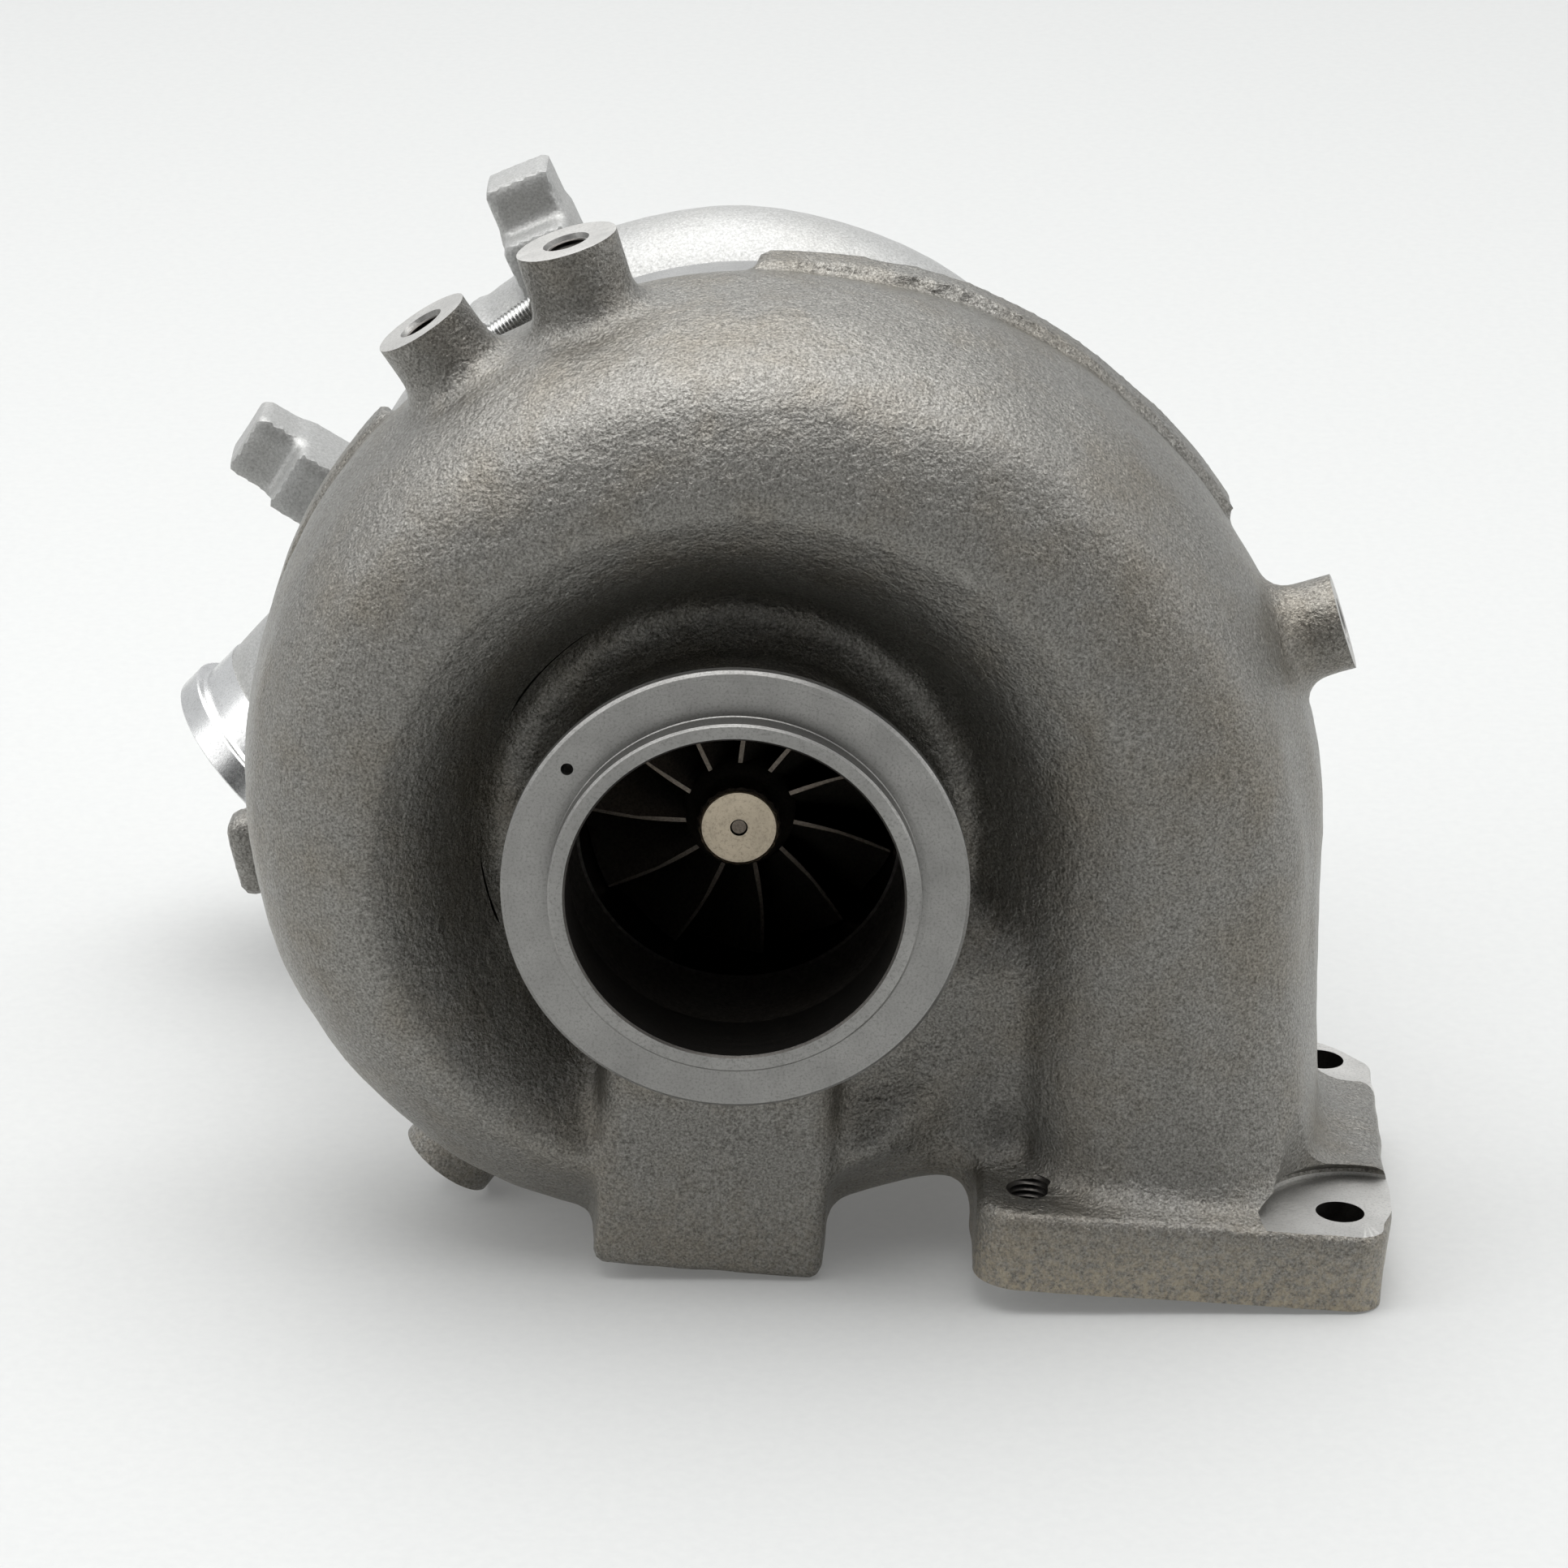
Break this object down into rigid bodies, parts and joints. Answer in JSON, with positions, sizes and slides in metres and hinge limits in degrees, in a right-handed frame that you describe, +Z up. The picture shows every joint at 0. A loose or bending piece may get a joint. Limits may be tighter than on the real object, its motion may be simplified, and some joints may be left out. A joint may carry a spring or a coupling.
{
  "type": "turbocharger",
  "caption": "Turbocharger with a divided flanged turbine inlet, V-band outlet, spinning rotor in floating bearings, and an aluminium compressor cover.",
  "frame": {"origin": "centre of the turbine outlet's sealing plane, on the shaft axis", "axes": "+Y along the shaft from the turbine towards the compressor, +Z up and away from the turbine inlet flange, +X to the right seen from the turbine outlet"},
  "size_m": [0.2903, 0.28, 0.235],
  "materials": {
    "turbine_housing": "as cast, shot blasted",
    "threaded_bosses": "as cast, shot blasted, ends milled",
    "turbine_wheel": "cast nickel alloy",
    "rotor_shaft": "ground",
    "heat_shield": "pressed",
    "turbine_seal_ring": "ground",
    "clamp_plates": "stamped",
    "clamp_bolts": "phosphated",
    "bearing_housing": "as cast",
    "journal_bearing_turbine": "turned bronze",
    "journal_bearing_compressor": "turned bronze",
    "bearing_snap_rings": "spring steel",
    "thrust_bearing": "machined bronze",
    "thrust_pins": "ground",
    "thrust_collar": "ground",
    "oil_slinger": "turned",
    "oil_baffle": "pressed",
    "seal_insert": "turned",
    "seal_insert_oring": "moulded",
    "insert_snap_ring": "spring steel",
    "compressor_seal_ring": "ground",
    "compressor_wheel": "cast and machined",
    "compressor_nut": "turned",
    "compressor_cover": "as cast, blasted",
    "cover_oring": "moulded",
    "v_band_half_upper": "rolled stainless",
    "v_band_half_lower": "rolled stainless",
    "v_band_bolts": "plated",
    "v_band_nuts": "plated"
  },
  "bodies": {
    "housing": {"bearing_housing": "bearing_housing", "bearing_snap_rings": "bearing_snap_rings", "clamp_bolts": "clamp_bolts", "clamp_plates": "clamp_plates", "compressor_cover": "compressor_cover", "compressor_seal_ring": "compressor_seal_ring", "cover_oring": "cover_oring", "heat_shield": "heat_shield", "insert_snap_ring": "insert_snap_ring", "oil_baffle": "oil_baffle", "seal_insert": "seal_insert", "seal_insert_oring": "seal_insert_oring", "threaded_bosses": "threaded_bosses", "thrust_bearing": "thrust_bearing", "thrust_pins": "thrust_pins", "turbine_housing": "turbine_housing", "turbine_seal_ring": "turbine_seal_ring", "v_band_bolts": "v_band_bolts", "v_band_half_lower": "v_band_half_lower", "v_band_half_upper": "v_band_half_upper", "v_band_nuts": "v_band_nuts"},
    "rotor": {"turbine_wheel": "turbine_wheel", "rotor_shaft": "rotor_shaft", "thrust_collar": "thrust_collar", "oil_slinger": "oil_slinger", "compressor_wheel": "compressor_wheel", "compressor_nut": "compressor_nut"},
    "floating_bearing_turbine": {"journal_bearing_turbine": "journal_bearing_turbine"},
    "floating_bearing_compressor": {"journal_bearing_compressor": "journal_bearing_compressor"}
  },
  "joints": [
    {"name": "rotor_spin", "type": "hinge", "parent": "housing", "child": "rotor", "pos_m": [0, 0.1, 0], "axis": [0, -1, 0], "continuous": true},
    {"name": "turbine_bearing_float", "type": "hinge", "parent": "housing", "child": "floating_bearing_turbine", "pos_m": [0, 0.109, 0], "axis": [0, -1, 0], "continuous": true},
    {"name": "compressor_bearing_float", "type": "hinge", "parent": "housing", "child": "floating_bearing_compressor", "pos_m": [0, 0.137, 0], "axis": [0, -1, 0], "continuous": true}
  ],
  "couplings": [
    {"joint": "turbine_bearing_float", "follows": "rotor_spin", "ratio": 0.25},
    {"joint": "compressor_bearing_float", "follows": "rotor_spin", "ratio": 0.25}
  ]
}
